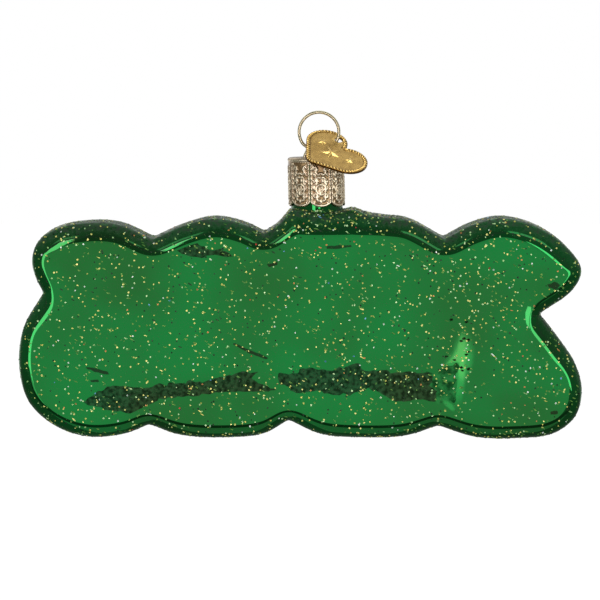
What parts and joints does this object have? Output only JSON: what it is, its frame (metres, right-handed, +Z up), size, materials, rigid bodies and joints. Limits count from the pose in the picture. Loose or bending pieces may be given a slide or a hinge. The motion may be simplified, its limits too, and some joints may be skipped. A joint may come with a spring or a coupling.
{
  "type": "glass christmas ornament",
  "caption": "Hollow mould-blown glass hanging ornament with a puffed front, flat glittered back, crown cap, wire loop hanger and a heart tag.",
  "frame": {"origin": "inside top of the hanger's wire loop, where a hook carries the ornament", "axes": "+Z up, +X along the body to the right as seen from the flat glittered back, which faces -Y; the puffed front faces +Y"},
  "size_m": [0.1271, 0.0256, 0.0739],
  "materials": {
    "green_glass": "silvered inside, transparent green lacquer outside, gold and coloured glitter on top, glossy",
    "stamped_gold": "thin stamped sheet, light gold plating, embossed, polished",
    "plated_wire": "spring wire with pale champagne plating, smooth",
    "tag_brass": "stamped brass with a rope-patterned border, satin gold"
  },
  "bodies": {
    "hanger": {"hanger": "plated_wire"},
    "cap": {"cap": "stamped_gold"},
    "glass_body": {"glass_body": "green_glass", "glass_neck": "green_glass"},
    "heart_tag": {"heart_tag": "tag_brass"}
  },
  "joints": [
    {"name": "cap_on_legs", "type": "slide", "parent": "hanger", "child": "cap", "axis": [0, 0, -1], "range_m": [0, 0.0015]},
    {"name": "glass_pull_off", "type": "slide", "parent": "cap", "child": "glass_body", "axis": [0, 0, -1], "range_m": [0, 0.014]},
    {"name": "tag_swing", "type": "hinge", "parent": "hanger", "child": "heart_tag", "pos_m": [0.00408, 0, -0.00604], "axis": [-0.9882, 0, 0.153], "range_deg": [0, 65]}
  ]
}
